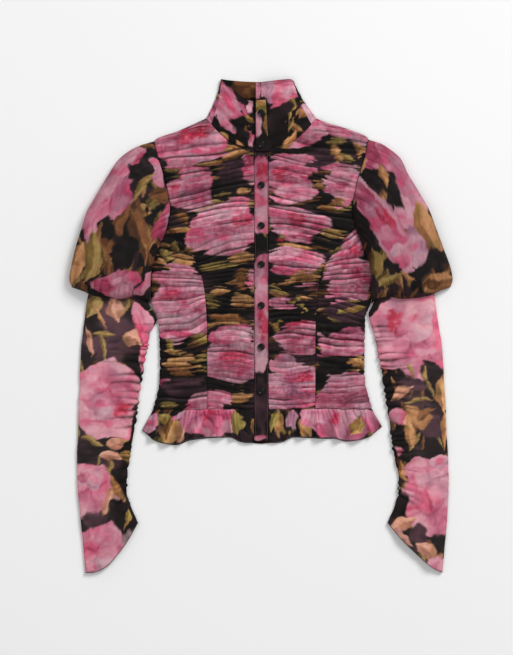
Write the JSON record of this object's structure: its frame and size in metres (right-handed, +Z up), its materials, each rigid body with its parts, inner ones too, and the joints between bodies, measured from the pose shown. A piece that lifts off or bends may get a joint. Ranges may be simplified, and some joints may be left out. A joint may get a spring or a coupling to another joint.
{
  "type": "blouse",
  "caption": "Fitted chiffon blouse laid flat, buttoned up, with a funnel collar, ruched fronts, bubble over-sleeves, long ruched sleeves with pointed cuffs and a gathered flounce.",
  "frame": {"origin": "under the middle of the whole garment, on the surface that it lies on", "axes": "+X to the right as the front is seen, +Y from the hem to the collar, +Z up out of the front"},
  "size_m": [0.6518, 0.8412, 0.034],
  "materials": {
    "printed_chiffon": "fine crinkled chiffon with a large floral print",
    "button": "polished"
  },
  "bodies": {
    "root": {"back_panel": "printed_chiffon", "front_centre_left": "printed_chiffon", "front_centre_right": "printed_chiffon", "front_side_left": "printed_chiffon", "front_side_right": "printed_chiffon", "flounce_back": "printed_chiffon", "flounce_front_left": "printed_chiffon", "flounce_front_right": "printed_chiffon", "button_stand": "printed_chiffon", "placket": "printed_chiffon", "collar": "printed_chiffon", "collar_band": "printed_chiffon", "puff_left": "printed_chiffon", "puff_right": "printed_chiffon", "sleeve_left": "printed_chiffon", "sleeve_right": "printed_chiffon", "button_1": "button", "button_2": "button", "button_3": "button", "button_4": "button", "button_5": "button", "button_6": "button", "button_7": "button", "button_8": "button"}
  },
  "joints": []
}
